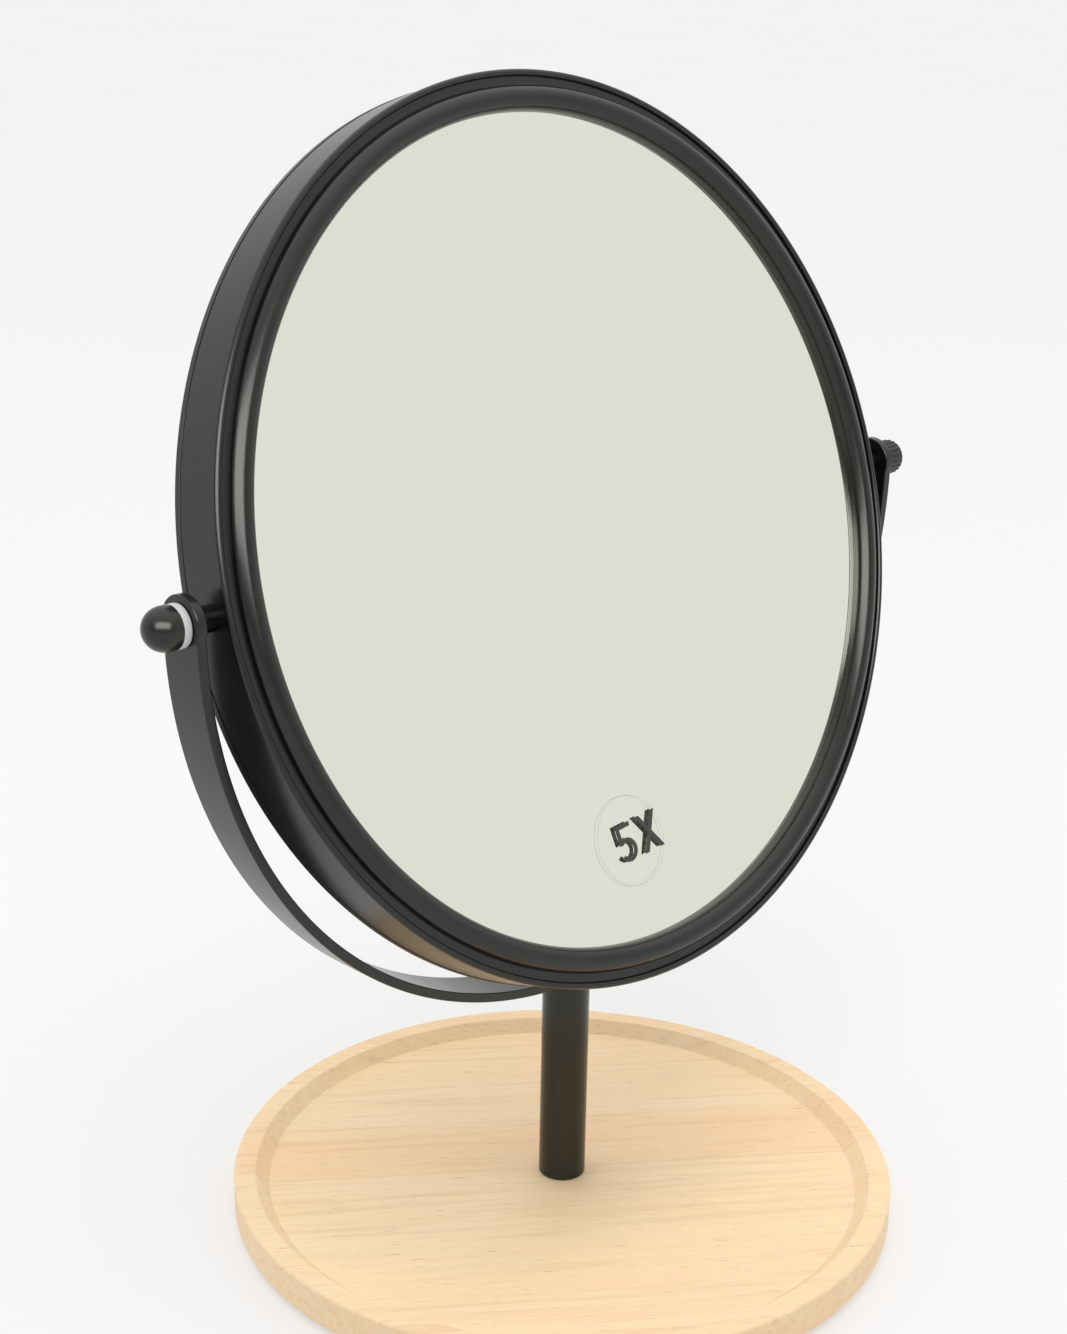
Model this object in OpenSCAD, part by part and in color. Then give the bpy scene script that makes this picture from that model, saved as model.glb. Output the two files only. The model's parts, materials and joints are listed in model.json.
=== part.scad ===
// Tabletop shaving mirror: a round double-sided head turns in a flat-strip yoke,
// on a short post that stands in a shallow wooden tray.
// X is the tilt axis, the magnifying side faces -Y, and Z = 0 is the surface it stands on.

/* [Tray] */
// Outer radius of the wooden tray
tray_r = 85; // [60:1:120]
// Thickness of the tray at its rim
tray_t = 10; // [8:0.5:16]
// Depth of the recess in the tray's top
recess_depth = 3.2; // [2:0.1:5]
// Width of the flat top of the rim
rim_w = 6; // [4:0.5:12]
// How far the rim's inner wall slopes inwards over the recess depth
rim_slope = 3; // [0:0.5:4]
// Radius of the tray's rounded lower edge
tray_foot_round = 2.4; // [1:0.1:3]
// Radius of the tray's rounded upper edges
tray_top_round = 0.8; // [0.4:0.1:1.2]

/* [Foot pads] */
// Thickness of a foot pad
pad_t = 1; // [0.5:0.1:3]
// Radius of a foot pad
pad_r = 6; // [4:0.5:10]
// How far a pad's centre lies inside the tray's edge
pad_inset = 14; // [12:1:30]
// Number of foot pads
pad_count = 4; // [3:1:6]

/* [Post] */
// Outer radius of the post tube
post_r = 6; // [5:0.5:10]
// Wall of the post tube
post_wall = 1.5; // [1:0.1:2]
// Length of the threaded plug in each end of the post
plug_len = 15; // [12:1:25]

/* [Head] */
// Height of the tilt axis above the table
pivot_h = 180.3; // [170:1:240]
// Backward tilt of the head as it stands, in degrees
head_tilt = 16.6; // [0:0.1:30]
// How far the head sits to the left of the post's line
head_shift = 1; // [0:0.1:2]
// Radius of the glass discs
glass_r = 100; // [85:1:105]
// Thickness of the glass
glass_t = 1.5; // [1.5:0.1:2.5]
// Radius of curvature of the magnifying face
curve_r = 680; // [600:10:1200]
// Gap between the back of the curved glass and the card behind it
centre_gap = 0.9; // [0.2:0.1:2]
// Thickness of the backing card
card_t = 0.5; // [0.3:0.1:1]
// Thickness of the gasket under each lip
gasket_t = 0.3; // [0.2:0.1:0.5]
// Thickness of the foam ring behind the curved glass
foam_t = 1; // [0.5:0.1:2]
// Radial width of the moulded ring's seat behind the glass
seat_w = 6; // [4:0.5:10]
// How far the bezel's lip covers the edge of the glass
lip_cover = 2.2; // [2:0.1:4]
// Radial width of the bezel, from its inner edge to its shoulder
bezel_w = 9.7; // [9.6:0.1:14]
// Thickness of the hoop's steel
hoop_t = 1; // [0.8:0.1:1.5]
// Thickness of the bezel's rolled steel
bezel_t = 0.8; // [0.6:0.1:1]

/* [Bezel roll] */
// Radius of the bezel's wide inner bead
bead_r = 3.3; // [2.5:0.1:4]
// Radius of the bezel's narrow outer shoulder
shoulder_r = 1.6; // [1:0.1:2.5]
// Height of the bead's crest above the hoop's edge
bead_rise = 3.7; // [3:0.1:4.5]
// Height of the shoulder's crest above the hoop's edge
shoulder_rise = 2.8; // [2:0.1:3.5]
// How far the shoulder stands proud of the hoop
shoulder_proud = 0.3; // [0:0.1:0.6]
// Thickness of the bezel's flat lip on the glass
lip_t = 0.6; // [0.5:0.1:1]
// Width of that flat lip inside the bead
lip_flat = 0.5; // [0.5:0.1:2]
// Depth of the bezel's skirt inside the hoop
skirt_depth = 3.5; // [2:0.1:5]

/* [Yoke] */
// Gap between the yoke and the head, all the way round
yoke_gap = 5.7; // [4.5:0.1:10]
// Width of the yoke's strip
yoke_w = 12; // [8:0.5:16]
// Thickness of the yoke's strip
yoke_t = 2.4; // [2:0.1:4]
// How far an ear's round end reaches past half the strip's width
ear_extra = 0.4; // [0:0.1:2]

/* [Pivots] */
// Radius of the threaded pivot studs
stud_r = 2; // [1.5:0.5:3]
// Radius of the spacers between the head and the ears
spacer_r = 2.9; // [2.6:0.1:5]
// Distance from an ear's outer face to the tip of the cap nut or knob
end_reach = 8.6; // [8:0.1:14]
// Radius of the left domed cap nut
cap_r = 4.85; // [4:0.05:5]
// Thickness of the nylon washer under the cap nut
left_washer_t = 1.9; // [1:0.1:2.5]
// Thickness of the nylon washer under the knob
right_washer_t = 0.7; // [0.5:0.1:2]
// Radius of the knob over its ribs
knob_r = 4.7; // [4.4:0.1:7]
// Number of grooves round the knob
knob_grooves = 22; // [12:1:30]
// Radius of one groove
groove_r = 0.42; // [0.3:0.02:0.6]
// Height of the knob's domed end
knob_dome = 1.9; // [1:0.1:3]
// Radius of the weld boss inside the hoop at each pivot
boss_r = 5; // [4.5:0.5:5.5]
// Length of that boss
boss_len = 4.4; // [3:0.1:5]

/* [Fasteners] */
// Radius of the base screw's shank
base_screw_r = 2.5; // [2:0.5:3]
// Radius of the base screw's head
base_head_r = 4.6; // [4.2:0.1:6]
// Height of the base screw's head
base_head_h = 2.5; // [2:0.1:3]
// Radius of the base washer
base_washer_r = 7; // [6:0.5:9]
// Thickness of the base washer
base_washer_t = 1; // [0.8:0.1:1.5]
// How far the base screw's head lies above the tray's underside
head_recess = 0.5; // [0.3:0.1:2]
// Radius of the yoke screw's shank
yoke_screw_r = 2; // [1.5:0.5:2.5]
// Radius of the yoke screw's head
yoke_head_r = 3.6; // [3.2:0.1:4]
// Height of the yoke screw's head
yoke_head_h = 2.1; // [1.5:0.1:2.5]
// Thickness of the lock washer under it
yoke_washer_t = 0.8; // [0.5:0.1:1]
// Threaded length of each screw inside its plug
screw_grip = 9; // [6:1:12]

/* [Label] */
// Radius of the clear round sticker on the magnifying glass
sticker_r = 11; // [6:0.1:14]
// Thickness of that sticker
sticker_t = 0.15; // [0.1:0.05:0.3]
// Clear glass between the lip and the sticker
sticker_margin = 11.8; // [5:0.1:20]
// Turn of the sticker round the glass from its lowest point, in degrees
sticker_turn = -2.2; // [-20:0.1:20]

/* [Clearances] */
// Radial clearance of the pivot studs in the ears and of the knob on its stud
pivot_clear = 0.08; // [0.02:0.01:0.1]
// Axial play on each side of an ear
ear_play = 0.15; // [0.1:0.05:0.3]
// Radial clearance of threads and sleeves that don't turn
fit_clear = 0.05; // [0.02:0.01:0.1]
// Clearance of the parts stacked inside the head
stack_clear = 0.05; // [0.02:0.01:0.1]
// Radial clearance of plain holes round screws
hole_clear = 0.25; // [0.1:0.05:0.5]

/* [Hidden] */

$fn = 96;
wide_fn = 240; // sides of the wide rings
arc_fn = 1440; // sides of the long, shallow arcs
small = 0.01;

// Tray heights
tray_top = pad_t + tray_t;
floor_z = tray_top - recess_depth;
recess_top_r = tray_r - rim_w;
recess_floor_r = recess_top_r - rim_slope;
washer_z = pad_t + head_recess + base_head_h; // underside of the washer
counterbore_r = base_washer_r + hole_clear;

// Head radii, from the glass outwards
bezel_in_r = glass_r - lip_cover;
bezel_out_r = bezel_in_r + bezel_w;
hoop_out_r = bezel_out_r - shoulder_proud;
hoop_in_r = hoop_out_r - hoop_t;
skirt_out_r = hoop_in_r - fit_clear;
skirt_in_r = skirt_out_r - bezel_t;

// Head stack, along the glass's normal from the middle plane
curve_depth = curve_r - sqrt(curve_r * curve_r - glass_r * glass_r);
hoop_half = gasket_t + glass_t + (curve_depth + centre_gap + card_t) / 2;
glass_face_z = hoop_half - gasket_t;
rear_back_z = glass_face_z - glass_t;
curve_z = glass_face_z - curve_depth + curve_r; // centre of both of the curved glass's faces
foam_top_z = curve_z - sqrt(pow(curve_r + glass_t, 2) - pow(glass_r - seat_w, 2)) - small;
ring_in_r = glass_r - seat_w;
ring_out_r = skirt_in_r - stack_clear;
gasket_in_r = bezel_in_r + 0.8; // hidden under the lip
bead_x = bezel_in_r + lip_flat + bead_r;
bead_z = hoop_half + bead_rise - bead_r;
shoulder_x = bezel_out_r - shoulder_r;
shoulder_z = hoop_half + shoulder_rise - shoulder_r;

sticker_drop = bezel_in_r - sticker_margin - sticker_r; // its middle below the glass's

// Yoke
yoke_in_r = bezel_out_r + yoke_gap;
yoke_out_r = yoke_in_r + yoke_t;
ear_r = yoke_w / 2 + ear_extra;
yoke_foot_z = pivot_h - yoke_out_r;
yoke_seat_z = pivot_h - yoke_in_r;

// Post
post_len = yoke_foot_z - floor_z;
plug_r = post_r - post_wall - fit_clear;

// Pivots, as distances along X from the post's line
left_hoop_x = hoop_out_r + head_shift;
right_hoop_x = hoop_out_r - head_shift;
stud_grip = 4.2; // length of stud inside the cap nut or knob
insert_r = 3.1; // knob's brass insert
insert_len = 5;
socket_depth = 1.3; // of the hexagon socket in each screw

// Drawn along X from the tilt axis, at distance x from the post's line; side is -1 or 1
module on_pivot(side, x) {
    translate([side * x, 0, pivot_h]) rotate([0, side * 90, 0]) children();
}

// Drawn with Z along the magnifying side's normal, from the middle of the head
module in_head() {
    translate([-head_shift, 0, pivot_h]) rotate([90 - head_tilt, 0, 0]) children();
}

module tube(outer, inner, length) {
    difference() {
        cylinder(r = outer, h = length);
        translate([0, 0, -1]) cylinder(r = inner, h = length + 2);
    }
}

// A round pan head with its rim rounded, drawn upwards from its seat
module pan_head(r, h) {
    edge = h * 0.4;
    cylinder(r = r, h = h - edge);
    translate([0, 0, h - edge]) cylinder(r = r - edge, h = edge);
    translate([0, 0, h - edge]) rotate_extrude() translate([r - edge, 0]) circle(r = edge);
}

module tray_profile() {
    difference() {
        union() {
            translate([0, pad_t]) square([tray_r - tray_foot_round, tray_t]);
            translate([0, pad_t + tray_foot_round])
                square([tray_r, tray_t - tray_foot_round - tray_top_round]);
            translate([0, pad_t]) square([tray_r - tray_top_round, tray_t]);
            translate([tray_r - tray_top_round, tray_top - tray_top_round]) circle(r = tray_top_round);
        }
        // Everything outside the rounded lower edge
        difference() {
            translate([tray_r - tray_foot_round, pad_t - 1])
                square([tray_foot_round + 1, tray_foot_round + 1]);
            translate([tray_r - tray_foot_round, pad_t + tray_foot_round]) circle(r = tray_foot_round);
        }
        // The recess, with sloping sides
        polygon([
            [-1, floor_z],
            [recess_floor_r, floor_z],
            [recess_top_r, tray_top - tray_top_round],
            [recess_top_r, tray_top + 1],
            [-1, tray_top + 1]
        ]);
        // The rounded inner edge of the rim
        difference() {
            translate([recess_top_r - 1, tray_top - tray_top_round])
                square([tray_top_round + 1, tray_top_round + 1]);
            translate([recess_top_r + tray_top_round, tray_top - tray_top_round])
                circle(r = tray_top_round);
        }
    }
}

module tray() {
    color("burlywood") difference() {
        rotate_extrude() intersection() {
            tray_profile();
            square([tray_r + 1, tray_top + 1]);
        }
        translate([0, 0, -1]) cylinder(r = base_screw_r + hole_clear, h = tray_top + 2);
        translate([0, 0, -1]) cylinder(r = counterbore_r, h = washer_z + base_washer_t + 1);
    }
}

module foot_pads() {
    color("gainsboro") for (i = [0 : pad_count - 1])
        rotate([0, 0, 45 + i * 360 / pad_count]) translate([tray_r - pad_inset, 0, 0])
            cylinder(r = pad_r, h = pad_t);
}

module base_screw() {
    socket_r = base_head_r * 0.55;
    color("silver") difference() {
        union() {
            translate([0, 0, washer_z]) rotate([180, 0, 0]) pan_head(base_head_r, base_head_h);
            translate([0, 0, washer_z - small])
                cylinder(r = base_screw_r, h = floor_z + screw_grip - washer_z);
        }
        translate([0, 0, washer_z - base_head_h - 1]) cylinder(r = socket_r, h = socket_depth + 1, $fn = 6);
    }
}

module base_washer() {
    color("silver") translate([0, 0, washer_z])
        tube(base_washer_r, base_screw_r + hole_clear, base_washer_t);
}

module post_bottom_plug() {
    color("silver") translate([0, 0, floor_z]) difference() {
        cylinder(r = plug_r, h = plug_len);
        translate([0, 0, -1]) cylinder(r = base_screw_r + fit_clear, h = screw_grip + 3);
    }
}

module post_tube() {
    color("#26241f") translate([0, 0, floor_z]) tube(post_r, post_r - post_wall, post_len);
}

module post_top_plug() {
    color("silver") translate([0, 0, yoke_foot_z - plug_len]) difference() {
        cylinder(r = plug_r, h = plug_len);
        translate([0, 0, plug_len - screw_grip - 2])
            cylinder(r = yoke_screw_r + fit_clear, h = screw_grip + 3);
    }
}

module yoke_ear(side) {
    on_pivot(side, yoke_in_r) cylinder(r = ear_r, h = yoke_t);
}

module yoke() {
    color("#2b2d2a") difference() {
        union() {
            // The half ring below the tilt axis
            translate([0, yoke_w / 2, pivot_h]) rotate([90, 0, 0])
                rotate_extrude(angle = 180, start = 180, $fn = wide_fn)
                    translate([yoke_in_r, 0]) square([yoke_t, yoke_w]);
            yoke_ear(-1);
            yoke_ear(1);
        }
        for (side = [-1, 1]) on_pivot(side, yoke_in_r - 1)
            cylinder(r = stud_r + pivot_clear, h = yoke_t + 2);
        translate([0, 0, yoke_foot_z - 1]) cylinder(r = yoke_screw_r + hole_clear, h = yoke_t + 3);
    }
}

// A flat washer in the round yoke rests on its two sides, a little above the lowest point
yoke_washer_r = yoke_head_r + 0.6;
yoke_washer_z = pivot_h - sqrt(yoke_in_r * yoke_in_r - yoke_washer_r * yoke_washer_r) + small;

module yoke_washer() {
    color("dimgray") translate([0, 0, yoke_washer_z])
        tube(yoke_washer_r, yoke_screw_r + hole_clear, yoke_washer_t);
}

module yoke_screw() {
    head_z = yoke_washer_z + yoke_washer_t;
    shank = head_z - yoke_foot_z + screw_grip;
    color("dimgray") difference() {
        union() {
            translate([0, 0, head_z]) pan_head(yoke_head_r, yoke_head_h);
            translate([0, 0, head_z - shank]) cylinder(r = yoke_screw_r, h = shank + small);
        }
        translate([0, 0, head_z + yoke_head_h - socket_depth])
            cylinder(r = yoke_head_r * 0.5, h = socket_depth + 1, $fn = 6);
    }
}

module hoop() {
    color("#33352f") difference() {
        in_head() translate([0, 0, -hoop_half])
            tube(hoop_out_r, hoop_in_r, 2 * hoop_half, $fn = wide_fn);
        for (side = [-1, 1]) on_pivot(side, bezel_in_r)
            cylinder(r = stud_r + fit_clear, h = bezel_w + 3);
    }
}

module weld_boss(side, hoop_x) {
    color("silver") difference() {
        on_pivot(side, hoop_x - hoop_t - boss_len) cylinder(r = boss_r, h = boss_len + hoop_t);
        in_head() translate([0, 0, -boss_r - 1])
            tube(hoop_out_r + 5, hoop_in_r - stack_clear, 2 * boss_r + 2, $fn = wide_fn);
        on_pivot(side, hoop_x - hoop_t - boss_len - 1) cylinder(r = stud_r + fit_clear, h = boss_len + 3);
    }
}

module left_boss() {
    weld_boss(-1, left_hoop_x);
}

module right_boss() {
    weld_boss(1, right_hoop_x);
}

module pivot_stud(side, hoop_x, washer_t) {
    start = hoop_x - hoop_t - boss_len;
    color("silver") on_pivot(side, start)
        cylinder(r = stud_r, h = yoke_out_r + ear_play + washer_t + stud_grip - start);
}

module left_pivot_stud() {
    pivot_stud(-1, left_hoop_x, left_washer_t);
}

module right_pivot_stud() {
    pivot_stud(1, right_hoop_x, right_washer_t);
}

// A sleeve from the hoop's round outside to the ear's inner face
module pivot_spacer(side, hoop_x) {
    color("#1c1c1a") difference() {
        on_pivot(side, hoop_x - hoop_t)
            tube(spacer_r, stud_r + fit_clear, yoke_in_r - ear_play - hoop_x + hoop_t);
        in_head() translate([0, 0, -spacer_r - 1])
            cylinder(r = hoop_out_r + small, h = 2 * spacer_r + 2, $fn = wide_fn);
    }
}

module left_spacer() {
    pivot_spacer(-1, left_hoop_x);
}

module right_spacer() {
    pivot_spacer(1, right_hoop_x);
}

module left_washer() {
    color("whitesmoke") on_pivot(-1, yoke_out_r + ear_play)
        tube(cap_r - 0.05, stud_r + fit_clear, left_washer_t);
}

module right_washer() {
    color("whitesmoke") on_pivot(1, yoke_out_r + ear_play)
        tube(knob_r - 0.1, stud_r + fit_clear, right_washer_t);
}

module left_cap_nut() {
    barrel = end_reach - ear_play - left_washer_t - cap_r;
    color("#1f201d") on_pivot(-1, yoke_out_r + ear_play + left_washer_t) difference() {
        union() {
            cylinder(r = cap_r, h = barrel);
            translate([0, 0, barrel]) intersection() {
                sphere(r = cap_r);
                cylinder(r = cap_r + 1, h = cap_r + 1);
            }
        }
        translate([0, 0, -1]) cylinder(r = stud_r + fit_clear, h = stud_grip + 1.5);
    }
}

module right_knob() {
    length = end_reach - ear_play - right_washer_t;
    barrel = length - knob_dome;
    dome_r = (knob_r * knob_r + knob_dome * knob_dome) / (2 * knob_dome);
    color("#1f201d") on_pivot(1, yoke_out_r + ear_play + right_washer_t) difference() {
        intersection() {
            cylinder(r = knob_r, h = length);
            translate([0, 0, length - dome_r]) sphere(r = dome_r, $fn = 180);
        }
        translate([0, 0, -1]) cylinder(r = insert_r + fit_clear, h = insert_len + 1);
        for (i = [0 : knob_grooves - 1]) rotate([0, 0, i * 360 / knob_grooves])
            translate([knob_r + groove_r * 0.35, 0, -1]) cylinder(r = groove_r, h = length + 2, $fn = 24);
    }
}

module knob_insert() {
    color("goldenrod") on_pivot(1, yoke_out_r + ear_play + right_washer_t) difference() {
        cylinder(r = insert_r, h = insert_len - small);
        translate([0, 0, -1]) cylinder(r = stud_r + pivot_clear, h = stud_grip + 1.4);
    }
}

// A bead of rolled steel: a thin round shell
module roll(x, z, r) {
    difference() {
        translate([x, z]) circle(r = r);
        translate([x, z]) circle(r = r - bezel_t);
    }
}

module bezel_profile() {
    intersection() {
        translate([bezel_in_r, hoop_half]) square([bezel_w, bead_rise + 2]);
        union() {
            // The wide bead and the narrow shoulder, each stopped where it meets the other
            difference() {
                roll(bead_x, bead_z, bead_r);
                translate([shoulder_x, shoulder_z]) circle(r = shoulder_r - bezel_t);
            }
            difference() {
                roll(shoulder_x, shoulder_z, shoulder_r);
                translate([bead_x, bead_z]) circle(r = bead_r - bezel_t);
            }
            translate([bezel_out_r - bezel_t, hoop_half]) square([bezel_t, shoulder_z - hoop_half]);
        }
    }
    // The flat lip on the glass
    translate([bezel_in_r, hoop_half]) square([bead_x - bead_r + bezel_t - bezel_in_r, lip_t]);
    // The step and the skirt inside the hoop
    translate([skirt_in_r, hoop_half]) square([bezel_out_r - skirt_in_r, lip_t]);
    translate([skirt_in_r, hoop_half - skirt_depth]) square([skirt_out_r - skirt_in_r, skirt_depth + small]);
}

// A bezel's skirt is notched where the weld bosses stand behind it
module bezel(side) {
    color("#2c2e2a") difference() {
        in_head() mirror([0, 0, side < 0 ? 1 : 0])
            rotate_extrude($fn = wide_fn) bezel_profile();
        for (end = [-1, 1]) on_pivot(end, glass_r + 1) cylinder(r = boss_r + stack_clear, h = bezel_w);
    }
}

module front_bezel() {
    bezel(1);
}

module rear_bezel() {
    bezel(-1);
}

module gasket_ring() {
    tube(glass_r, gasket_in_r, gasket_t, $fn = wide_fn);
}

module front_gasket() {
    color("lightgray") in_head() translate([0, 0, glass_face_z]) gasket_ring();
}

module rear_gasket() {
    color("lightgray") in_head() translate([0, 0, -hoop_half]) gasket_ring();
}

// The magnifying glass: both faces are parts of spheres with one centre
module front_mirror() {
    color("lightsteelblue") in_head() rotate_extrude($fn = wide_fn) difference() {
        intersection() {
            translate([0, curve_z - curve_r - glass_t - 1]) square([glass_r, glass_r]);
            translate([0, curve_z]) circle(r = curve_r + glass_t, $fn = arc_fn);
        }
        translate([0, curve_z]) circle(r = curve_r, $fn = arc_fn);
    }
}

module rear_mirror() {
    color("lightsteelblue") in_head() translate([0, 0, -glass_face_z])
        cylinder(r = glass_r, h = glass_t, $fn = wide_fn);
}

module rear_card() {
    color("tan") in_head() translate([0, 0, -rear_back_z])
        cylinder(r = ring_in_r - 1, h = card_t, $fn = wide_fn);
}

// The moulded ring between the two glasses, which also holds them in the middle of the hoop
module inner_ring() {
    seat_z = foam_top_z - foam_t;
    color("dimgray") difference() {
        in_head() rotate_extrude($fn = wide_fn) {
            translate([ring_in_r, -rear_back_z]) square([ring_out_r - ring_in_r, seat_z + rear_back_z]);
            translate([glass_r + fit_clear, stack_clear - hoop_half])
                square([ring_out_r - glass_r - fit_clear, 2 * (hoop_half - stack_clear)]);
        }
        for (end = [-1, 1]) on_pivot(end, glass_r - head_shift - stack_clear)
            cylinder(r = boss_r + stack_clear, h = 12);
    }
}

module front_foam() {
    color("darkgray") in_head() translate([0, 0, foam_top_z - foam_t])
        tube(glass_r, ring_in_r, foam_t, $fn = wide_fn);
}

// A flat sticker on the hollow glass, touching it all round its own edge
module magnification_sticker() {
    slope = asin(sticker_drop / curve_r);
    lift = curve_r - sqrt(curve_r * curve_r - sticker_r * sticker_r);
    color("white") in_head() translate([0, 0, curve_z]) rotate([0, 0, sticker_turn]) rotate([-slope, 0, 0])
        translate([0, 0, lift + small - curve_r]) cylinder(r = sticker_r, h = sticker_t);
}

tray();
foot_pads();
base_screw();
base_washer();
post_bottom_plug();
post_tube();
post_top_plug();
yoke();
yoke_washer();
yoke_screw();
hoop();
left_boss();
right_boss();
left_pivot_stud();
right_pivot_stud();
left_spacer();
right_spacer();
left_washer();
right_washer();
left_cap_nut();
right_knob();
knob_insert();
front_bezel();
rear_bezel();
front_gasket();
rear_gasket();
front_mirror();
rear_mirror();
rear_card();
inner_ring();
front_foam();
magnification_sticker();
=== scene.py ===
import json
import math

import bmesh
import bpy
import numpy as np
from mathutils import Matrix, Vector


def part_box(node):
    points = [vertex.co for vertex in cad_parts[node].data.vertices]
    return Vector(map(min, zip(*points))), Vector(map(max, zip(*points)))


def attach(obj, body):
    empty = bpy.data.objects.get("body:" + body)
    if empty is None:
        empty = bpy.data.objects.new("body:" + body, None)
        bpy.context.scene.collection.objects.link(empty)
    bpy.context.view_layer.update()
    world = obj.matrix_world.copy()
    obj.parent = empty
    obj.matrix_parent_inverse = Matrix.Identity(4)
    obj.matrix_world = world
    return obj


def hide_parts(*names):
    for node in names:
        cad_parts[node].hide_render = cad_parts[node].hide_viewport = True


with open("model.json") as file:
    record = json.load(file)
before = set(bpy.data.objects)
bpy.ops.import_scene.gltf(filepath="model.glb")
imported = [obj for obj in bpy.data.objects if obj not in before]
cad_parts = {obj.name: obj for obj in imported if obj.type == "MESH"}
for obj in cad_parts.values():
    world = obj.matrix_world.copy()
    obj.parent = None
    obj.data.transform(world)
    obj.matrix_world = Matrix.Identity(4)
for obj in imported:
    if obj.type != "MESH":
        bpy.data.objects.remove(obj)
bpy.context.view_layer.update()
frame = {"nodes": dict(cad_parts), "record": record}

bl_info = {
    "name": "Tabletop Shaving Mirror",
    "version": (1, 0, 0),
    "blender": (4, 5, 0),
    "location": "View3D > Sidebar > Mirror",
    "description": "Builds a tilting two-sided table mirror with a wooden tray around its frame",
    "category": "Add Mesh",
}

MM = 0.001
ROUND = 256  # sides of the wide turned rings
SMALL_ROUND = 96  # sides of the small turned parts
GLASS_RADIUS = 100.0  # mm, both mirrors
GLASS_THICK = 1.5  # mm
LIP_THICK = 0.3  # mm, from the hoop's edge in to the glass's face
STRIP_HALF = 6.0  # mm, half the width of the yoke's strip
STRIP_THICK = 2.4  # mm
STUD_HOLE = 2.05  # mm, radius of the holes that the pivot studs pass
EAR_HOLE = 2.08  # mm, radius of the holes in the yoke's ears
SCREW_HOLE = 2.25  # mm, radius of the hole for the screw into the post
PAD_RADIUS = 6.0  # mm


def frame_box(node):
    """A node's box as two numpy corners, in mm."""
    lo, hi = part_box(node)
    return np.array(lo) / MM, np.array(hi) / MM


HOOP_LO, HOOP_HI = frame_box("hoop")
YOKE_LO, YOKE_HI = frame_box("yoke")
HEAD_MIDDLE = (HOOP_LO + HOOP_HI) / 2
PIVOT_Z = HEAD_MIDDLE[2]


# ---------------------------------------------------------------- sizes and colours


class TraySizes(bpy.types.PropertyGroup):
    recess_floor_radius: bpy.props.FloatProperty(
        name="Recess floor", description="Radius of the tray's flat floor in mm", default=76.0, min=10)
    recess_top_radius: bpy.props.FloatProperty(
        name="Recess top", description="Radius where the sloping wall meets the rim in mm", default=79.0, min=10)
    top_rounding: bpy.props.FloatProperty(
        name="Rim rounding", description="Radius of the rim's two top edges in mm", default=0.8, min=0.1)
    foot_rounding: bpy.props.FloatProperty(
        name="Foot rounding", description="Radius of the lower outer edge in mm", default=2.4, min=0.1)
    grain_turn: bpy.props.FloatProperty(
        name="Grain direction", description="Direction of the staves, seen from above",
        default=math.radians(-37.0), subtype="ANGLE")
    pale: bpy.props.FloatVectorProperty(
        name="Pale wood", description="Colour of the palest wood", subtype="COLOR", default=(0.93, 0.70, 0.445))
    warm: bpy.props.FloatVectorProperty(
        name="Warm wood", description="Colour of the pink stave", subtype="COLOR", default=(0.92, 0.645, 0.39))
    grain: bpy.props.FloatVectorProperty(
        name="Grain", description="Colour of the grain's darker lines", subtype="COLOR", default=(0.60, 0.375, 0.19))


class PaintSizes(bpy.types.PropertyGroup):
    colour: bpy.props.FloatVectorProperty(
        name="Black paint", description="Colour of the satin black coat", subtype="COLOR",
        default=(0.0042, 0.0047, 0.0038))
    worn: bpy.props.FloatVectorProperty(
        name="Rubbed paint", description="Colour of the coat where it is rubbed or dusty", subtype="COLOR",
        default=(0.013, 0.0135, 0.0115))
    roughness: bpy.props.FloatProperty(
        name="Roughness", description="Roughness of the satin coat", default=0.24, min=0, max=1, subtype="FACTOR")
    yoke_edge: bpy.props.FloatProperty(
        name="Yoke edge", description="Rounding of the strip's edges in mm", default=0.35, min=0.05)


class HeadSizes(bpy.types.PropertyGroup):
    tilt: bpy.props.FloatProperty(
        name="Tilt", description="Lean of the glass at rest", default=math.radians(16.6), subtype="ANGLE")
    lip_radius: bpy.props.FloatProperty(
        name="Lip radius", description="Radius of the bezel's opening in mm", default=97.9, min=10)
    outer_radius: bpy.props.FloatProperty(
        name="Bezel radius", description="Outer radius of the bezel in mm", default=107.5, min=10)
    half_width: bpy.props.FloatProperty(
        name="Half width of the hoop", description="From the head's middle to the hoop's edge in mm",
        default=6.1965, min=1)
    bead_radius: bpy.props.FloatProperty(
        name="Bead", description="Radius of the wide rolled bead in mm", default=3.0, min=0.5)
    shoulder_radius: bpy.props.FloatProperty(
        name="Outer roll", description="Radius of the narrow outer roll in mm", default=0.85, min=0.3)
    curve_radius: bpy.props.FloatProperty(
        name="Glass curve", description="Radius of the magnifying glass's hollow face in mm", default=680.0, min=200)
    silver_depth: bpy.props.FloatProperty(
        name="Silver depth", description="How far behind the glass's face the silver seems to lie in mm",
        default=0.52, min=0, max=1.4)
    silver: bpy.props.FloatVectorProperty(
        name="Silver", description="Tint of what the mirror shows", subtype="COLOR", default=(0.832, 0.847, 0.750))


class EndSizes(bpy.types.PropertyGroup):
    ribs: bpy.props.IntProperty(name="Ribs", description="Ribs round the knob", default=22, min=6)
    rib_radius: bpy.props.FloatProperty(
        name="Rib radius", description="Radius of one rib in mm", default=0.42, min=0.1)
    pads: bpy.props.IntProperty(name="Pads", description="Pads under the tray", default=4, min=3)


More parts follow.
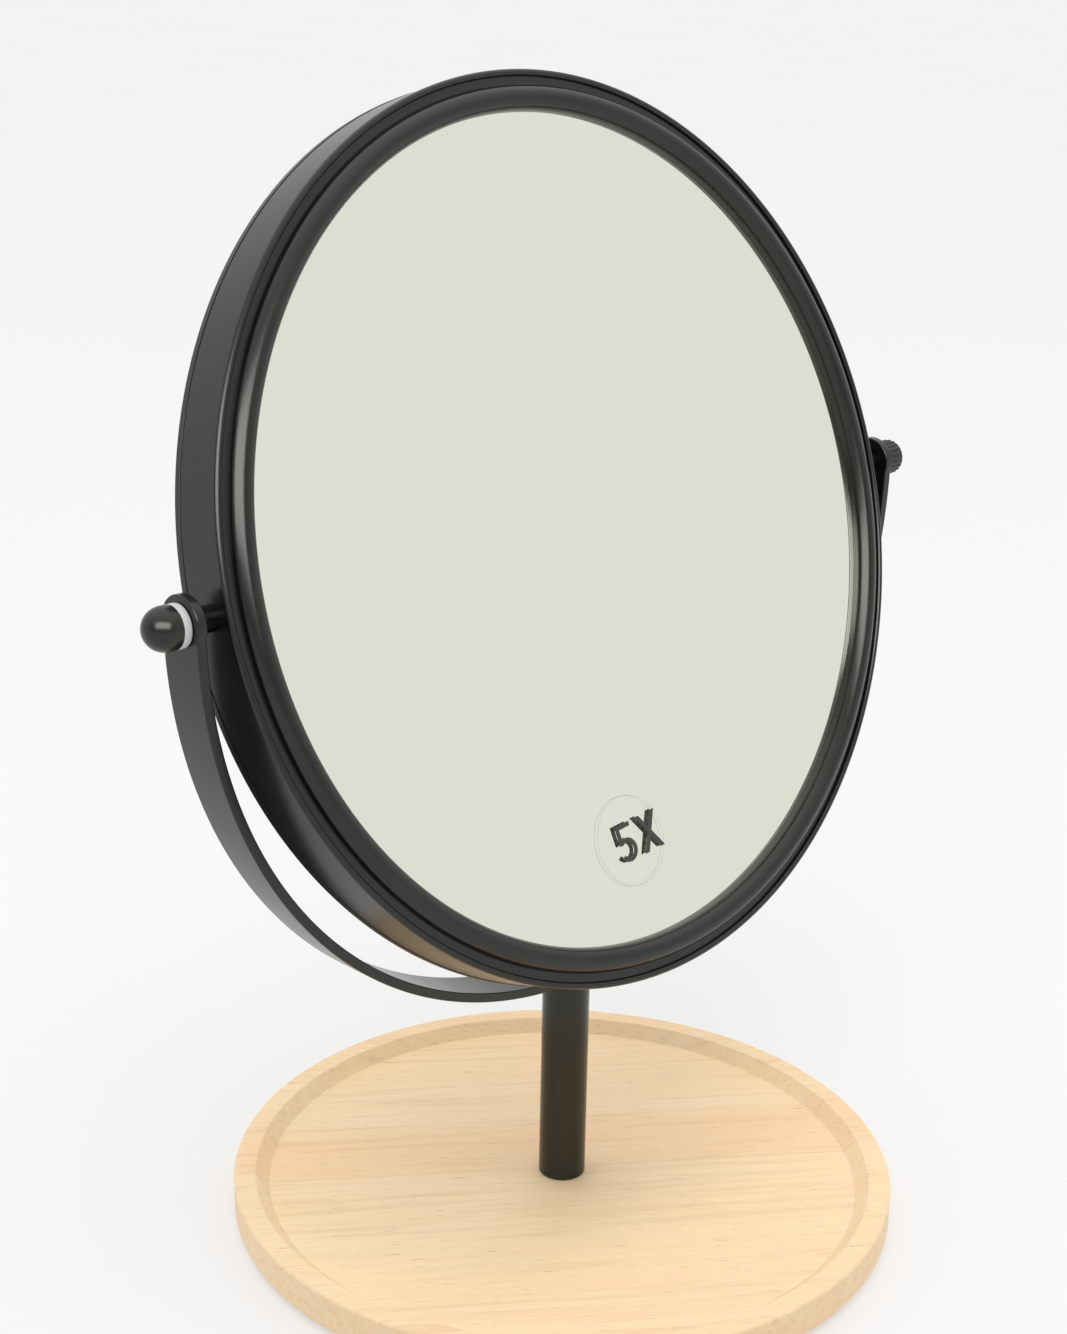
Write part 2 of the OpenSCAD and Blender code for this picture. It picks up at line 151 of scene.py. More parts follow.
class MarkSizes(bpy.types.PropertyGroup):
    height: bpy.props.FloatProperty(
        name="Figure height", description="Height of the printed figure in mm", default=9.3, min=1)
    stroke: bpy.props.FloatProperty(
        name="Stroke", description="Width of the figure's strokes in mm", default=1.15, min=0.2)
    aside: bpy.props.FloatProperty(
        name="Aside", description="How far the figure sits from the label's middle in mm", default=3.0)
    turn: bpy.props.FloatProperty(
        name="Turn", description="Slope of the printed line", default=math.radians(5.0), subtype="ANGLE")


class StageSizes(bpy.types.PropertyGroup):
    surround: bpy.props.FloatProperty(
        name="Surround", description="Brightness of the white room's walls", default=0.87, min=0)
    overhead: bpy.props.FloatProperty(
        name="Overhead", description="Brightness straight overhead", default=1.55, min=0)
    dim: bpy.props.FloatProperty(
        name="Behind the camera", description="Share of the walls' brightness left behind the camera",
        default=0.4, min=0, max=1, subtype="FACTOR")
    lamp: bpy.props.FloatProperty(
        name="Front window", description="Brightness of the wide window seen in the paint's sheen", default=6.5, min=0)
    key: bpy.props.FloatProperty(
        name="Key lamp", description="Brightness of the soft lamp on the matt surfaces", default=2.4, min=0)
    floor_glow: bpy.props.FloatProperty(
        name="Floor glow", description="Light that the lit floor gives off by itself", default=0.44, min=0)
    floor_shade: bpy.props.FloatProperty(
        name="Floor", description="Lightness of the pale floor", default=0.43, min=0, max=1, subtype="FACTOR")


GROUPS = {
    "mirror_tray": TraySizes,
    "mirror_paint": PaintSizes,
    "mirror_head": HeadSizes,
    "mirror_ends": EndSizes,
    "mirror_mark": MarkSizes,
    "mirror_stage": StageSizes,
}


def sizes(name):
    return getattr(bpy.context.scene, name)


# ---------------------------------------------------------------- mesh helpers


def arc(centre, radius, start, end, steps):
    """Points on an arc, angles in degrees."""
    angles = np.radians(np.linspace(start, end, steps + 1))
    return [(centre[0] + radius * math.cos(a), centre[1] + radius * math.sin(a)) for a in angles]


def on_post(points):
    """Turned about the post: radius and height stay as they are."""
    return points


def in_head(points):
    """From the head's own frame, Z out of the magnifying side, to the row frame."""
    turn = math.pi / 2 - sizes("mirror_head").tilt
    c, s = math.cos(turn), math.sin(turn)
    x, y, z = points.T
    return np.stack([x, y * c - z * s, y * s + z * c], -1) + HEAD_MIDDLE


def to_head(point):
    """One point from the row frame to the head's own frame."""
    turn = math.pi / 2 - sizes("mirror_head").tilt
    c, s = math.cos(turn), math.sin(turn)
    x, y, z = point - HEAD_MIDDLE
    return np.array([x, y * c + z * s, z * c - y * s])


def on_pivot(side):
    """From a frame with Z along the tilt axis, zero at the post's line, to the row frame."""
    def place(points):
        x, y, z = points.T
        return np.stack([side * z, y, PIVOT_Z - side * x], -1)
    return place


def new_mesh(name, points, faces):
    """A plain object from points in mm; its faces are made to point outwards."""
    mesh = bpy.data.meshes.new(name)
    mesh.from_pydata([tuple(p * MM) for p in np.asarray(points, float)], [], faces)
    tidy = bmesh.new()
    tidy.from_mesh(mesh)
    bmesh.ops.remove_doubles(tidy, verts=tidy.verts, dist=1e-7)
    bmesh.ops.recalc_face_normals(tidy, faces=tidy.faces)
    tidy.to_mesh(mesh)
    tidy.free()
    piece = bpy.data.objects.new(name, mesh)
    bpy.context.scene.collection.objects.link(piece)
    return piece


def turned(name, profile, place, sides=ROUND):
    """A closed profile of (radius, height) turned about Z. A point at radius 0 becomes a pole."""
    points, rows = [], []
    for radius, height in profile:
        if radius < 1e-6:
            rows.append([len(points)] * sides)
            points.append((0, 0, height))
        else:
            rows.append(list(range(len(points), len(points) + sides)))
            for i in range(sides):
                a = 2 * math.pi * i / sides
                points.append((radius * math.cos(a), radius * math.sin(a), height))
    faces = []
    for k in range(len(rows)):
        low, high = rows[k], rows[(k + 1) % len(rows)]
        for i in range(sides):
            j = (i + 1) % sides
            corners = []
            for corner in (low[i], low[j], high[j], high[i]):
                if corner not in corners:
                    corners.append(corner)
            if len(corners) > 2:
                faces.append(corners)
    return new_mesh(name, place(np.array(points, float)), faces)


def drill(piece, radius, place, low, high):
    """A round hole between two heights of a placed frame."""
    cutter = turned(
        "drill", [(0, low), (radius, low), (radius, high), (0, high)], place, sides=48)
    cut = piece.modifiers.new("hole", "BOOLEAN")
    cut.operation, cut.object, cut.solver = "DIFFERENCE", cutter, "EXACT"
    bake(piece)
    bpy.data.objects.remove(cutter)


def bake(piece):
    """Turns a piece and its modifiers into a plain mesh."""
    bpy.context.view_layer.update()
    graph = bpy.context.evaluated_depsgraph_get()
    made = bpy.data.meshes.new_from_object(piece.evaluated_get(graph), depsgraph=graph)
    piece.modifiers.clear()
    old = piece.data
    piece.data = made
    made.name = piece.name
    bpy.data.meshes.remove(old)


def finish_piece(piece, body, slot, *stands_for, finish=None, crease=35.0):
    """Smooth shading up to the crease angle, flat faces kept flat, then the finish and its place in the frame."""
    mesh = piece.data
    mesh.polygons.foreach_set("use_smooth", [True] * len(mesh.polygons))
    shell = bmesh.new()
    shell.from_mesh(mesh)
    limit = math.radians(crease)
    for edge in shell.edges:
        edge.smooth = not (edge.is_manifold and edge.calc_face_angle(0) > limit)
    shell.to_mesh(mesh)
    shell.free()
    weighted = piece.modifiers.new("flat faces", "WEIGHTED_NORMAL")
    weighted.keep_sharp = True
    bake(piece)
    piece.data.materials.clear()
    piece.data.materials.append(MATERIALS[finish or slot])
    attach(piece, body)
    if stands_for:
        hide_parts(*stands_for)


# ---------------------------------------------------------------- shader helpers


class Nodes:
    """A short way to add nodes and link them."""

    def __init__(self, tree):
        self.tree = tree

    def add(self, kind, values=None, **settings):
        node = self.tree.nodes.new(kind)
        for key, value in settings.items():
            setattr(node, key, value)
        for key, value in (values or {}).items():
            socket = node.inputs[key]
            if isinstance(value, bpy.types.NodeSocket):
                self.tree.links.new(value, socket)
            else:
                socket.default_value = value
        return node

    def math(self, operation, a, b=0.0, clamp=False):
        return self.add("ShaderNodeMath", {0: a, 1: b}, operation=operation, use_clamp=clamp).outputs[0]

    def blend(self, factor, a, b, blend_type="MIX"):
        node = self.add("ShaderNodeMix", data_type="RGBA", blend_type=blend_type)
        for index, value in ((0, factor), (6, a), (7, b)):
            if isinstance(value, bpy.types.NodeSocket):
                self.tree.links.new(value, node.inputs[index])
            else:
                node.inputs[index].default_value = value
        return node.outputs[2]

    def span(self, value, low, high, to_low=0.0, to_high=1.0):
        return self.add(
            "ShaderNodeMapRange",
            {"Value": value, "From Min": low, "From Max": high, "To Min": to_low, "To Max": to_high},
        ).outputs["Result"]

    def noise(self, vector, scale, detail=3.0, roughness=0.5, distortion=0.0):
        return self.add(
            "ShaderNodeTexNoise",
            {"Vector": vector, "Scale": scale, "Detail": detail, "Roughness": roughness, "Distortion": distortion},
        ).outputs["Fac"]

    def mapped(self, vector, location=(0, 0, 0), rotation=(0, 0, 0), scale=(1, 1, 1)):
        return self.add(
            "ShaderNodeMapping", {"Vector": vector, "Location": location, "Rotation": rotation, "Scale": scale}
        ).outputs["Vector"]


def rgba(colour, share=1.0):
    """A solid colour, darkened to a share of itself."""
    return (*(c * share for c in colour[:3]), 1.0)


def group(name, inputs, outputs, build):
    """A shader node group, made once. inputs are (name, socket type, default)."""
    if name in bpy.data.node_groups:
        return bpy.data.node_groups[name]
    tree = bpy.data.node_groups.new(name, "ShaderNodeTree")
    for label, kind, default in inputs:
        socket = tree.interface.new_socket(name=label, in_out="INPUT", socket_type=kind)
        if default is not None:
            socket.default_value = default
    for label, kind in outputs:
        tree.interface.new_socket(name=label, in_out="OUTPUT", socket_type=kind)
    into, out = tree.nodes.new("NodeGroupInput"), tree.nodes.new("NodeGroupOutput")
    for label, socket in build(Nodes(tree), into.outputs).items():
        tree.links.new(socket, out.inputs[label])
    return tree


def coat_group():
    """Fine orange peel, soft cloudiness and a few dust specks of a sprayed coat."""
    def build(n, given):
        where = given["Vector"]
        peel = n.noise(where, n.math("DIVIDE", 1.0, given["Grain"]), 2.0, 0.55)
        cloud = n.noise(where, 38.0, 3.0, 0.6)
        cells = n.add("ShaderNodeTexVoronoi", {"Vector": where, "Scale": 190.0})
        seed = n.add("ShaderNodeSeparateColor", {"Color": cells.outputs["Color"]}).outputs["Red"]
        chosen = n.math("GREATER_THAN", seed, 0.965)
        near = n.span(cells.outputs["Distance"], 0.03, 0.065, 1.0, 0.0)
        speck = n.math("MULTIPLY", n.math("MULTIPLY", chosen, near), given["Dust"], clamp=True)
        return {
            "Height": peel,
            "Cloud": n.span(cloud, 0.3, 0.7),
            "Speck": speck,
        }
    return group(
        "Sprayed coat",
        [("Vector", "NodeSocketVector", None), ("Grain", "NodeSocketFloat", 0.0004), ("Dust", "NodeSocketFloat", 0.5)],
        [("Height", "NodeSocketFloat"), ("Cloud", "NodeSocketFloat"), ("Speck", "NodeSocketFloat")],
        build,
    )


def scuff_group():
    """Fine, faint handling marks, stretched along one direction."""
    def build(n, given):
        long_way = n.mapped(given["Vector"], rotation=(0.4, 0.9, 0.2), scale=(1.0, 0.06, 1.0))
        lines = n.noise(long_way, given["Scale"], 5.0, 0.7)
        broad = n.noise(given["Vector"], 55.0, 2.0, 0.5)
        marks = n.math("MULTIPLY", n.span(lines, 0.55, 0.8), n.span(broad, 0.45, 0.75))
        return {"Marks": marks}
    return group(
        "Handling marks",
        [("Vector", "NodeSocketVector", None), ("Scale", "NodeSocketFloat", 900.0)],
        [("Marks", "NodeSocketFloat")],
        build,
    )


def lines_group():
    """Fine lines that turning or rolling leaves in bare metal, and its soft cloudiness."""
    def build(n, given):
        lines = n.noise(n.mapped(given["Vector"], scale=given["Stretch"]), 1.0, 4.0, 0.65)
        cloud = n.noise(given["Vector"], 90.0, 3.0, 0.6)
        return {
            "Lines": lines,
            "Clouds": n.span(cloud, 0.35, 0.7, 0.0, 0.5),
            "Streaks": n.span(lines, 0.4, 0.7, 0.0, 0.3),
        }
    return group(
        "Machined lines",
        [("Vector", "NodeSocketVector", None), ("Stretch", "NodeSocketVector", None)],
        [("Lines", "NodeSocketFloat"), ("Clouds", "NodeSocketFloat"), ("Streaks", "NodeSocketFloat")],
        build,
    )


def skin_group():
    """Fine skin and soft tone variation of a moulded part."""
    def build(n, given):
        skin = n.noise(given["Vector"], n.math("DIVIDE", 1.0, given["Grain"]), 3.0, 0.6)
        cloud = n.noise(given["Vector"], 70.0, 2.0, 0.5)
        return {
            "Skin": skin,
            "Clouds": n.span(cloud, 0.3, 0.7, 0.0, 0.6),
            "Flecks": n.span(skin, 0.35, 0.75, 0.0, 0.35),
        }
    return group(
        "Moulded skin",
        [("Vector", "NodeSocketVector", None), ("Grain", "NodeSocketFloat", 0.0005)],
        [("Skin", "NodeSocketFloat"), ("Clouds", "NodeSocketFloat"), ("Flecks", "NodeSocketFloat")],
        build,
    )


def new_material(name, slot_colour=None):
    """An empty Principled material, its node helper, its shader and its Object coordinates."""
    material = bpy.data.materials.new(name)
    material.use_nodes = True
    material.node_tree.nodes.clear()
    n = Nodes(material.node_tree)
    shader = n.add("ShaderNodeBsdfPrincipled")
    out = n.add("ShaderNodeOutputMaterial")
    material.node_tree.links.new(shader.outputs["BSDF"], out.inputs["Surface"])
    where = n.add("ShaderNodeTexCoord").outputs["Object"]
    if slot_colour:
        material.diffuse_color = rgba(slot_colour)
    return material, n, shader, where


def wire(n, shader, **inputs):
    """Links or sets the shader's own sockets; underscores stand for spaces."""
    for key, value in inputs.items():
        socket = shader.inputs[key.replace("_", " ")]
        if isinstance(value, bpy.types.NodeSocket):
            n.tree.links.new(value, socket)
        else:
            socket.default_value = value


def bump(n, height, depth, strength=1.0):
    return n.add("ShaderNodeBump", {"Height": height, "Distance": depth, "Strength": strength}).outputs["Normal"]


def coated(name, colour, worn, roughness, peel, dust, coat=0.0):
    """A sprayed coat: colour, cloudiness, peel and dust."""
    material, n, shader, where = new_material(name, colour)
    spray = n.add(
        "ShaderNodeGroup", {"Vector": where, "Grain": peel, "Dust": dust}, node_tree=coat_group()).outputs
    marks = n.add("ShaderNodeGroup", {"Vector": where}, node_tree=scuff_group()).outputs["Marks"]
    dust_colour = (0.20, 0.19, 0.17, 1)
    tone = n.blend(n.math("MULTIPLY", spray["Cloud"], 0.35), rgba(colour), rgba(worn))
    tone = n.blend(n.math("MULTIPLY", marks, 0.25), tone, rgba(worn))
    tone = n.blend(n.math("MULTIPLY", spray["Speck"], 0.35), tone, dust_colour)
    rough = n.math("ADD", n.math("MULTIPLY", spray["Cloud"], 0.05), roughness - 0.025)
    rough = n.math("ADD", rough, n.math("MULTIPLY", marks, 0.10), clamp=True)
    rough = n.math("ADD", rough, n.math("MULTIPLY", spray["Speck"], 0.3), clamp=True)
    wire(n, shader, Base_Color=tone, Roughness=rough, Normal=bump(n, spray["Height"], 0.00002, 0.35),
         Specular_Tint=(0.95, 1.0, 0.90, 1), Coat_Weight=coat, Coat_Roughness=0.12)
    return material


def metal(name, colour, roughness, stretch):
    """Bare metal with fine turning or rolling lines."""
    material, n, shader, where = new_material(name, colour)
    worked = n.add("ShaderNodeGroup", {"Vector": where, "Stretch": stretch}, node_tree=lines_group()).outputs
    tone = n.blend(worked["Clouds"], rgba(colour), rgba(colour, 0.72))
    tone = n.blend(worked["Streaks"], tone, rgba(colour, 0.72))
    rough = n.span(worked["Lines"], 0.2, 0.8, roughness - 0.07, roughness + 0.1)
    wire(n, shader, Base_Color=tone, Roughness=rough, Normal=bump(n, worked["Lines"], 0.00002, 0.4), Metallic=1.0)
    return material


def moulded(name, colour, roughness, grain, see_through=0.0):
    """A moulded plastic, rubber or card with a fine skin and soft tone variation."""
    material, n, shader, where = new_material(name, colour)
    surface = n.add("ShaderNodeGroup", {"Vector": where, "Grain": grain}, node_tree=skin_group()).outputs
    tone = n.blend(surface["Clouds"], rgba(colour), rgba(colour, 0.86))
    tone = n.blend(surface["Flecks"], tone, rgba(colour, 0.75))
    rough = n.span(surface["Skin"], 0.2, 0.8, roughness - 0.06, roughness + 0.06)
    wire(n, shader, Base_Color=tone, Roughness=rough, Normal=bump(n, surface["Skin"], 0.00003, 0.4))
    if see_through:
        wire(n, shader, Subsurface_Weight=see_through, Subsurface_Radius=(0.002, 0.002, 0.002), Subsurface_Scale=0.5)
    return material


def wood(name):
    """Edge-glued pale staves: each stave's own tone, growth bands, pores and flecks, on solid coordinates."""
    s = sizes("mirror_tray")
    material, n, shader, where = new_material(name, s.pale)
    along = n.mapped(where, rotation=(0, 0, -s.grain_turn))
    split = n.add("ShaderNodeSeparateXYZ", {"Vector": along})
    across = split.outputs["Y"]
    # stave seams at these distances across the grain, with each stave's warmth and depth of tone
    seams = (-0.0625, 0.0011, 0.0263, 0.062)
    warmth = (0.55, 0.10, 0.85, 0.15, 0.35)
    shift = (0.21, 0.0, 0.37, 0.74, 0.55)
    warm, slide = warmth[0], shift[0]
    seam_line = None
    for k, seam in enumerate(seams):
        past = n.math("GREATER_THAN", across, seam)
        soft = n.span(across, seam - 0.003, seam + 0.004) if k == 2 else past
        warm = n.math("ADD", warm, n.math("MULTIPLY", soft, warmth[k + 1] - warmth[k]))
        slide = n.math("ADD", slide, n.math("MULTIPLY", past, shift[k + 1] - shift[k]))
        near = n.span(n.math("ABSOLUTE", n.math("SUBTRACT", across, seam)), 0.00004, 0.00022, 1.0, 0.0)
        near = n.math("MULTIPLY", near, 1.0 if k == 1 else 0.4)
        seam_line = near if seam_line is None else n.math("MAXIMUM", seam_line, near)
    # each stave is its own board: its figure is slid along and across
    moved = n.add("ShaderNodeCombineXYZ", {"X": slide, "Y": n.math("MULTIPLY", slide, 0.31), "Z": slide})
    board = n.add("ShaderNodeVectorMath", {0: along, 1: moved.outputs[0]}, operation="ADD").outputs[0]
    broad = n.noise(n.mapped(board, scale=(2.2, 26.0, 26.0)), 2.6, 3.0, 0.55, 0.4)
    streak = n.noise(n.mapped(board, scale=(5.0, 150.0, 150.0)), 3.0, 5.0, 0.62, 0.25)
    fine = n.noise(n.mapped(board, scale=(26.0, 900.0, 900.0)), 2.4, 4.0, 0.7)
    pore_cells = n.noise(n.mapped(board, scale=(160.0, 2300.0, 2300.0)), 1.0, 2.0, 0.5)
    pores = n.span(pore_cells, 0.66, 0.74)
    flecks = n.span(n.noise(n.mapped(board, scale=(60.0, 420.0, 420.0)), 1.0, 3.0, 0.6), 0.62, 0.8)
    tone = n.blend(warm, rgba(s.pale), rgba(s.warm))
    tone = n.blend(n.span(broad, 0.52, 0.78, 0.0, 0.55), tone, rgba(s.warm))
    sapwood = (0.94, 0.76, 0.53, 1)
    tone = n.blend(n.span(broad, 0.50, 0.24, 0.0, 0.45), tone, sapwood)
    tone = n.blend(n.span(streak, 0.50, 0.80, 0.0, 0.42), tone, rgba(s.grain))
    tone = n.blend(n.span(fine, 0.50, 0.80, 0.0, 0.30), tone, rgba(s.grain))
    tone = n.blend(n.math("MULTIPLY", flecks, 0.22), tone, rgba(s.grain))
    tone = n.blend(n.math("MULTIPLY", pores, 0.55), tone, rgba(s.grain, 0.6))
    tone = n.blend(n.math("MULTIPLY", seam_line, 0.30), tone, rgba(s.grain, 0.8))
    height = n.math("SUBTRACT", n.math("MULTIPLY", fine, 0.5), n.math("MULTIPLY", pores, 0.5))
    height = n.math("SUBTRACT", height, n.math("MULTIPLY", seam_line, 0.4))
    rough = n.span(streak, 0.3, 0.8, 0.46, 0.60)
    wire(n, shader, Base_Color=tone, Roughness=rough, Normal=bump(n, height, 0.00008, 0.45), Specular_IOR_Level=0.35)
    return material


def silvered(name):
    """Silver behind glass, with the faintest haze."""
    s = sizes("mirror_head")
    material, n, shader, where = new_material(name, s.silver)
    haze = n.span(n.noise(where, 24.0, 3.0, 0.6), 0.3, 0.75)
    tone = n.blend(haze, rgba(s.silver), rgba(s.silver, 0.985))
    wire(n, shader, Base_Color=tone, Roughness=n.span(haze, 0.0, 1.0, 0.012, 0.022), Metallic=1.0)
    return material


def clear_film(name):
    """A clear label: almost nothing but a faint rim where its cut edge catches the light."""
    material, n, shader, where = new_material(name, (0.9, 0.9, 0.88))
    middle = tuple(label_middle() * MM)
    offset = n.add("ShaderNodeVectorMath", {0: where, 1: middle}, operation="DISTANCE").outputs["Value"]
    rim = n.span(offset, 0.01055, 0.01085)
    dust = n.noise(where, 1500.0, 2.0, 0.5)
    tone = n.blend(rim, (0.80, 0.82, 0.74, 1), (0.46, 0.47, 0.42, 1))
    alpha = n.math("ADD", n.math("MULTIPLY", rim, 0.16), n.span(dust, 0.5, 0.8, 0.01, 0.03))
    wire(n, shader, Base_Color=tone, Alpha=alpha, Roughness=n.span(dust, 0.3, 0.7, 0.10, 0.16))
    return material


def label_middle():
    low, high = frame_box("magnification_sticker")
    return (low + high) / 2


MATERIALS = {}


def make_materials():
    """Makes every finish once, under the name of its slot."""
    paint = sizes("mirror_paint")
    MATERIALS.update({
        "pale_wood": wood("Oiled pale wood"),
        "black_paint": coated("Satin black coat", paint.colour, paint.worn, paint.roughness, 0.00045, 0.35),
        "black_gloss": coated("Semi-gloss black coat", paint.colour, paint.worn, 0.26, 0.0006, 0.5),
        "zinc_steel": metal("Zinc plated steel", (0.60, 0.61, 0.62), 0.34, (900, 900, 160)),
        "brass_insert": metal("Turned brass", (0.75, 0.56, 0.27), 0.30, (2600, 120, 120)),
        "white_nylon": moulded("White nylon", (0.66, 0.68, 0.67), 0.42, 0.0005, 0.15),
        "clear_rubber": moulded("Soft clear rubber", (0.62, 0.63, 0.60), 0.45, 0.0006, 0.2),
        "grey_gasket": moulded("Grey gasket strip", (0.14, 0.145, 0.14), 0.6, 0.0005),
        "silvered_glass": silvered("Silvered glass"),
        "grey_card": moulded("Grey fibre board", (0.34, 0.33, 0.30), 0.85, 0.0008),
        "grey_plastic": moulded("Moulded dark plastic", (0.07, 0.07, 0.07), 0.55, 0.0006),
        "grey_foam": moulded("Closed-cell foam", (0.13, 0.13, 0.13), 0.9, 0.0009),
        "clear_label": clear_film("Clear label film"),
        "printed_ink": moulded("Printed grey ink", (0.040, 0.040, 0.030), 0.5, 0.0004),
    })


# ---------------------------------------------------------------- the pieces


def rounded_tube(inner, outer, low, high, edge, steps=4):
    """A closed profile of a tube whose outer edges, and inner ones by half as much, are rounded."""
    small = min(edge * 0.5, (outer - inner) * 0.3)
    edge = min(edge, (outer - inner) * 0.45, (high - low) * 0.45)
    small = min(small, edge)
    return (
        arc((outer - edge, low + edge), edge, -90, 0, steps)
        + arc((outer - edge, high - edge), edge, 0, 90, steps)
        + arc((inner + small, high - small), small, 90, 180, steps)
        + arc((inner + small, low + small), small, 180, 270, steps)
    )


class MIRROR_OT_tray(bpy.types.Operator):
    """Turns the wooden tray, with its sunk floor and the hole and counterbore underneath"""

    bl_idname = "mirror.tray"
    bl_label = "Wooden tray"

    def execute(self, context):
        s = sizes("mirror_tray")
        low, high = frame_box("tray")
        outer, top = high[0], high[2]
        floor = frame_box("post_tube")[0][2]
        washer = frame_box("base_washer")[1]
        bore, hole = washer[0] + 0.25, 2.75
        t, f, cove = s.top_rounding, s.foot_rounding, 0.5
        slope = math.degrees(math.atan2(top - t - floor, s.recess_top_radius - s.recess_floor_radius))
        profile = [(hole, floor), (20.0, floor), (50.0, floor), (s.recess_floor_radius - cove, floor)]
        profile += arc((s.recess_floor_radius - cove * math.tan(math.radians(slope / 2)), floor + cove),
                       cove, -90, -90 + slope, 5)[1:]
        profile += arc((s.recess_top_radius + t, top - t), t, 180 - (90 - slope) * 0.6, 90, 8)
        profile += arc((outer - t, top - t), t, 90, 0, 8)
        profile += arc((outer - f, low[2] + f), f, 0, -90, 12)
        profile += [(55.0, low[2]), (25.0, low[2]), (bore + 0.3, low[2]), (bore, low[2] + 0.3)]
        profile += [(bore, washer[2]), (hole, washer[2])]
        tray = turned("wooden_tray", profile, on_post)
        finish_piece(tray, "stand", "pale_wood", "tray")
        return {"FINISHED"}


def copies_tree(name, count_default, material):
    """Geometry Nodes: copies of the given shape round a circle, each turned to face outwards."""
    tree = bpy.data.node_groups.new(name, "GeometryNodeTree")
    face = tree.interface
    face.new_socket(name="Geometry", in_out="INPUT", socket_type="NodeSocketGeometry")
    wanted = {}
    for label, kind, default in (
        ("Count", "NodeSocketInt", count_default),
        ("Radius", "NodeSocketFloat", 0.01),
        ("First Turn", "NodeSocketFloat", 0.0),
        ("Height", "NodeSocketFloat", 0.0),
    ):
        socket = face.new_socket(name=label, in_out="INPUT", socket_type=kind)
        socket.default_value = default
        wanted[label] = socket.identifier
    face.new_socket(name="Geometry", in_out="OUTPUT", socket_type="NodeSocketGeometry")
    n = Nodes(tree)
    into, out = n.add("NodeGroupInput"), n.add("NodeGroupOutput")
    points = n.add("GeometryNodePoints", {"Count": into.outputs["Count"]})
    index = n.add("GeometryNodeInputIndex").outputs[0]
    step = n.math("DIVIDE", 2 * math.pi, into.outputs["Count"])
    angle = n.math("ADD", n.math("MULTIPLY", index, step), into.outputs["First Turn"])
    spot = n.add("ShaderNodeCombineXYZ", {
        "X": n.math("MULTIPLY", n.math("COSINE", angle), into.outputs["Radius"]),
        "Y": n.math("MULTIPLY", n.math("SINE", angle), into.outputs["Radius"]),
        "Z": into.outputs["Height"],
    }).outputs[0]
    placed = n.add("GeometryNodeSetPosition", {"Geometry": points.outputs[0], "Position": spot}).outputs[0]
    turn = n.add("ShaderNodeCombineXYZ", {"Z": angle}).outputs[0]
    copies = n.add("GeometryNodeInstanceOnPoints", {
        "Points": placed, "Instance": into.outputs["Geometry"], "Rotation": turn}).outputs[0]
    real = n.add("GeometryNodeRealizeInstances", {"Geometry": copies}).outputs[0]
    painted = n.add("GeometryNodeSetMaterial", {"Geometry": real, "Material": material}).outputs[0]
    tree.links.new(painted, out.inputs["Geometry"])
    return tree, wanted


def copied_round(piece, tree, wanted, values):
    """Runs the tree on a piece and keeps the result as its mesh."""
    ring = piece.modifiers.new("copies", "NODES")
    ring.node_group = tree
    for label, value in values.items():
        ring[wanted[label]] = value
    bake(piece)


class MIRROR_OT_pads(bpy.types.Operator):
    """Sets the soft pads in a circle under the tray"""

    bl_idname = "mirror.pads"
    bl_label = "Foot pads"

    def execute(self, context):
        low, high = frame_box("foot_pads")
        edge = 0.5
        profile = [(0, low[2]), (PAD_RADIUS - edge, low[2])]
        profile += arc((PAD_RADIUS - edge, low[2] + edge), edge, -90, 0, 5)
        profile += [(PAD_RADIUS, high[2]), (0, high[2])]
        pad = turned("foot_pads", profile, on_post, sides=48)
        count, middle = sizes("mirror_ends").pads, (high[0] - PAD_RADIUS) / math.cos(math.pi / 4)
        tree, wanted = copies_tree("Pads in a circle", count, MATERIALS["clear_rubber"])
        copied_round(pad, tree, wanted, {
            "Count": count, "Radius": middle * MM, "First Turn": math.pi / 4, "Height": 0.0})
        finish_piece(pad, "stand", "clear_rubber", "foot_pads")
        return {"FINISHED"}


class MIRROR_OT_post(bpy.types.Operator):
    """Makes the round steel post with softened ends"""

    bl_idname = "mirror.post"
    bl_label = "Post"

    def execute(self, context):
        low, high = frame_box("post_tube")
        profile = rounded_tube(high[0] - 1.5, high[0], low[2], high[2], 0.5, 6)
        post = turned("steel_post", profile, on_post, sides=128)
        finish_piece(post, "stand", "black_paint", "post_tube")
        return {"FINISHED"}


